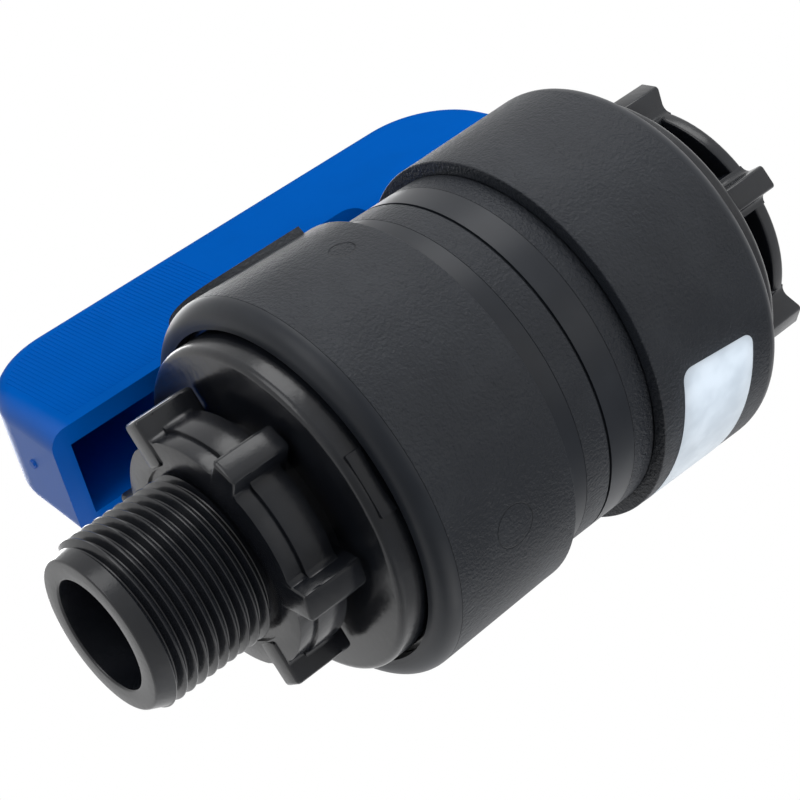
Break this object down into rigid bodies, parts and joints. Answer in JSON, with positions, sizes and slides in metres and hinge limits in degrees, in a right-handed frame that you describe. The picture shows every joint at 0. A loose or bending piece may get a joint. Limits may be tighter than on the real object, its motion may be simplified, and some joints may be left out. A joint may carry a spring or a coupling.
{
  "type": "union ball valve",
  "caption": "Plastic quarter-turn ball valve with a bar handle, two union nuts, a male threaded end and a female threaded end with wrench lugs.",
  "frame": {"origin": "centre of the male thread's end face", "axes": "+X along the flow axis from the male end to the female end, +Z along the stem towards the handle"},
  "size_m": [0.1216, 0.0629, 0.0921],
  "materials": {
    "body_plastic": "fine grained moulded polypropylene",
    "nut_plastic": "coarse grained moulded polypropylene",
    "connector_plastic": "grained moulded polypropylene, glossier thread",
    "carrier_plastic": "plain moulded polypropylene",
    "ball_plastic": "polished moulded ball",
    "stem_plastic": "glass-filled moulded plastic",
    "seat_plastic": "smooth machined fluoropolymer",
    "seal_rubber": "matt moulded rubber",
    "handle_plastic": "satin blue moulded plastic, ribbed grip",
    "screw_steel": "stainless",
    "label_film": "blank printed-film label"
  },
  "bodies": {
    "housing": {"valve_body": "body_plastic", "male_connector": "connector_plastic", "female_connector": "connector_plastic", "seat_carrier": "carrier_plastic", "seat_left": "seat_plastic", "seat_right": "seat_plastic", "seat_ring_left": "seal_rubber", "seat_ring_right": "seal_rubber", "face_ring_left": "seal_rubber", "face_ring_right": "seal_rubber", "carrier_ring": "seal_rubber", "thrust_washer": "seat_plastic"},
    "lever": {"handle": "handle_plastic", "handle_screw": "screw_steel", "stem": "stem_plastic", "stem_ring_lower": "seal_rubber", "stem_ring_upper": "seal_rubber"},
    "ball": {"ball": "ball_plastic"},
    "left_nut": {"union_nut_left": "nut_plastic"},
    "right_nut": {"union_nut_right": "nut_plastic"}
  },
  "joints": [
    {"name": "handle_turn", "type": "hinge", "parent": "housing", "child": "lever", "pos_m": [0.0695, 0, 0.045], "axis": [0, 0, 1], "range_deg": [-90, 0]},
    {"name": "ball_turn", "type": "hinge", "parent": "housing", "child": "ball", "pos_m": [0.0695, 0, 0], "axis": [0, 0, 1], "range_deg": [-90, 0]},
    {"name": "left_nut_turn", "type": "hinge", "parent": "housing", "child": "left_nut", "pos_m": [0.0465, 0, 0], "axis": [-1, 0, 0], "range_deg": [0, 2250]},
    {"name": "right_nut_turn", "type": "hinge", "parent": "housing", "child": "right_nut", "pos_m": [0.0917, 0, 0], "axis": [1, 0, 0], "range_deg": [0, 2250]}
  ],
  "couplings": [
    {"joint": "ball_turn", "follows": "handle_turn", "ratio": 1}
  ]
}
